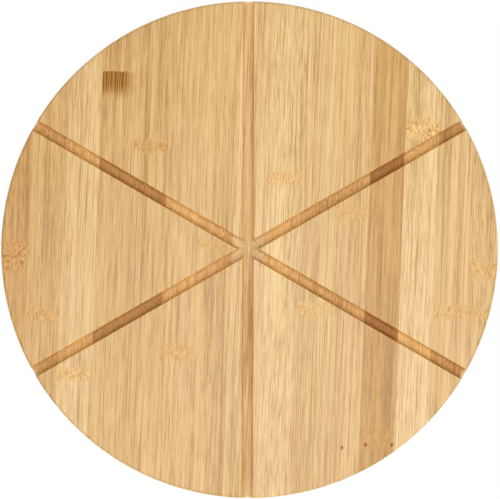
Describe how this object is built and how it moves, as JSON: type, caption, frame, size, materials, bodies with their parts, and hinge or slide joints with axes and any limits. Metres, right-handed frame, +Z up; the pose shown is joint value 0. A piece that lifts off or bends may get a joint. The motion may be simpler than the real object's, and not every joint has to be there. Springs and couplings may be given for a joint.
{
  "type": "pizza serving board",
  "caption": "Round bamboo serving board laid from glued strips in crossed plies, with cove grooves that cross at the middle to mark equal slices and guide a cutter.",
  "frame": {"origin": "centre of the board's round underside, on the plane that it rests on", "axes": "+Z up, square to the serving face; +Y along the straight groove; +X to the right as seen from above"},
  "size_m": [0.33, 0.33, 0.015],
  "materials": {
    "bamboo_pale": "sanded and oiled, satin",
    "bamboo_honey": "sanded and oiled, satin",
    "bamboo_browned": "sanded and oiled, satin",
    "bamboo_core": "sanded and oiled, satin"
  },
  "bodies": {
    "root": {"top_strip_01": "bamboo_browned", "top_strip_02": "bamboo_honey", "top_strip_03": "bamboo_browned", "top_strip_04": "bamboo_honey", "top_strip_05": "bamboo_honey", "top_strip_06": "bamboo_honey", "top_strip_07": "bamboo_honey", "top_strip_08": "bamboo_pale", "top_strip_09": "bamboo_pale", "top_strip_10": "bamboo_pale", "top_strip_11": "bamboo_pale", "top_strip_12": "bamboo_honey", "top_strip_13": "bamboo_pale", "top_strip_14": "bamboo_honey", "top_strip_15": "bamboo_honey", "core_strip_01": "bamboo_core", "core_strip_02": "bamboo_core", "core_strip_03": "bamboo_core", "core_strip_04": "bamboo_core", "core_strip_05": "bamboo_core", "core_strip_06": "bamboo_core", "core_strip_07": "bamboo_core", "core_strip_08": "bamboo_core", "core_strip_09": "bamboo_core", "core_strip_10": "bamboo_core", "core_strip_11": "bamboo_core", "core_strip_12": "bamboo_core", "core_strip_13": "bamboo_core", "core_strip_14": "bamboo_core", "core_strip_15": "bamboo_core", "bottom_strip_01": "bamboo_pale", "bottom_strip_02": "bamboo_honey", "bottom_strip_03": "bamboo_pale", "bottom_strip_04": "bamboo_honey", "bottom_strip_05": "bamboo_pale", "bottom_strip_06": "bamboo_honey", "bottom_strip_07": "bamboo_pale", "bottom_strip_08": "bamboo_honey", "bottom_strip_09": "bamboo_pale", "bottom_strip_10": "bamboo_honey", "bottom_strip_11": "bamboo_pale", "bottom_strip_12": "bamboo_honey", "bottom_strip_13": "bamboo_pale", "bottom_strip_14": "bamboo_honey", "bottom_strip_15": "bamboo_pale"}
  },
  "joints": []
}
